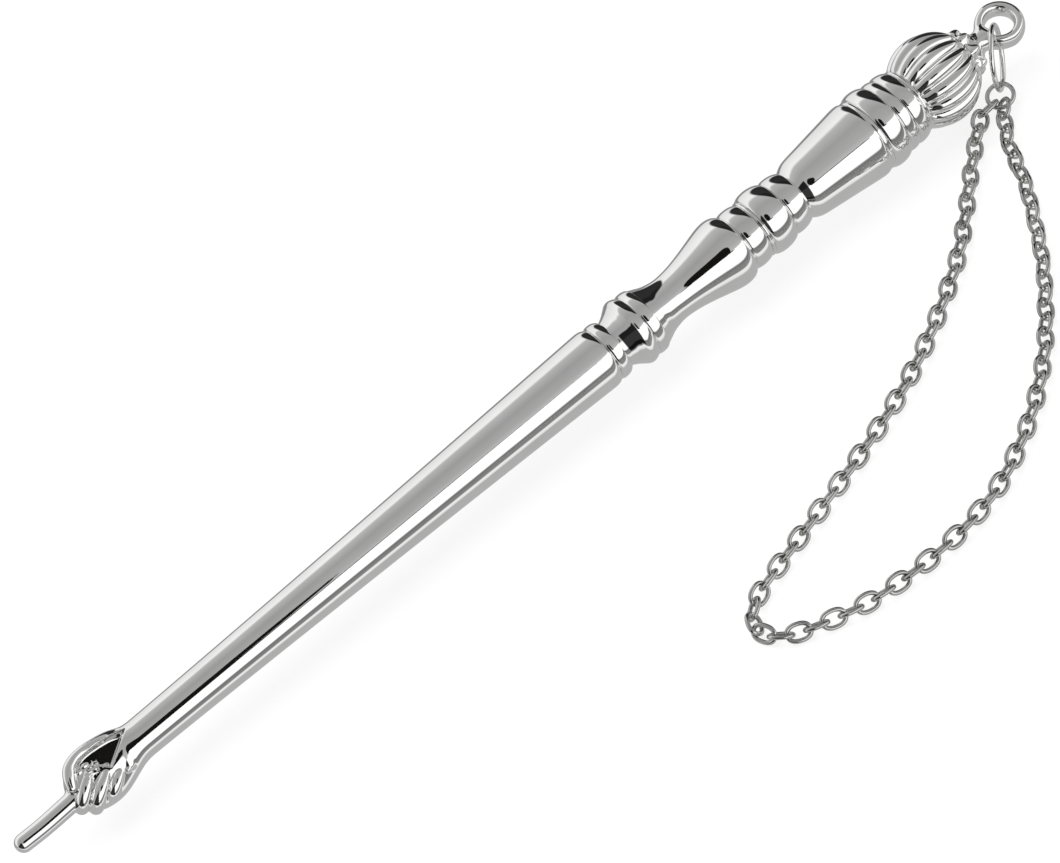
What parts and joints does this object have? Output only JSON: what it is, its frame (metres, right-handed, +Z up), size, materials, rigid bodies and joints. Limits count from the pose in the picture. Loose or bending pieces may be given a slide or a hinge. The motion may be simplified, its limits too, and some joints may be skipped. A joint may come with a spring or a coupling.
{
  "type": "torah pointer",
  "caption": "Slim polished metal reading pointer (yad): a small pointing hand, a turned handle, a fluted ball and a fine chain loop on a ring at the eye.",
  "frame": {"origin": "on the surface the pointer lies on, under the middle of its length and under its axis", "axes": "+X along the handle from the pointing hand to the eye, +Z up from the surface, +Y across"},
  "size_m": [0.17, 0.0599, 0.0126],
  "materials": {
    "polished_nickel": "mirror-polished nickel-silver plate with dark grooves",
    "rod_steel": "plain steel rod with cut threads at both ends",
    "ring_steel": "bright wire ring",
    "chain_steel": "grey wire links, softly shining"
  },
  "bodies": {
    "pointer": {"hand": "polished_nickel", "shaft": "polished_nickel", "shaft_bead": "polished_nickel", "spool": "polished_nickel", "spool_ring": "polished_nickel", "vase": "polished_nickel", "bead_lower": "polished_nickel", "bead_large": "polished_nickel", "bead_upper": "polished_nickel", "barrel": "polished_nickel", "barrel_collar": "polished_nickel", "ring_large": "polished_nickel", "ring_middle": "polished_nickel", "ring_small": "polished_nickel", "ball_collar": "polished_nickel", "fluted_ball": "polished_nickel", "crown_eye": "polished_nickel", "tie_rod": "rod_steel"},
    "ring": {"jump_ring": "ring_steel"},
    "chain_a": {"chain_upper": "chain_steel"},
    "chain_b": {"chain_middle": "chain_steel"},
    "chain_c": {"chain_lower": "chain_steel"}
  },
  "joints": [
    {"name": "ring_swing", "type": "hinge", "parent": "pointer", "child": "ring", "pos_m": [0.08155, 0, 0.00628], "axis": [0, 0, 1], "range_deg": [0, 60]},
    {"name": "chain_swing", "type": "hinge", "parent": "ring", "child": "chain_a", "pos_m": [0.07643, -0.00461, 0.00154], "axis": [0, 0, 1], "range_deg": [0, 45]},
    {"name": "chain_fold_1", "type": "hinge", "parent": "chain_a", "child": "chain_b", "pos_m": [0.05538, -0.02684, 0.00104], "axis": [0.7114, -0.7028, 0], "range_deg": [-30, 0]},
    {"name": "chain_fold_2", "type": "hinge", "parent": "chain_b", "child": "chain_c", "pos_m": [0.03045, -0.04201, 0.00104], "axis": [0.6457, -0.7635, 0], "range_deg": [-30, 0]}
  ]
}
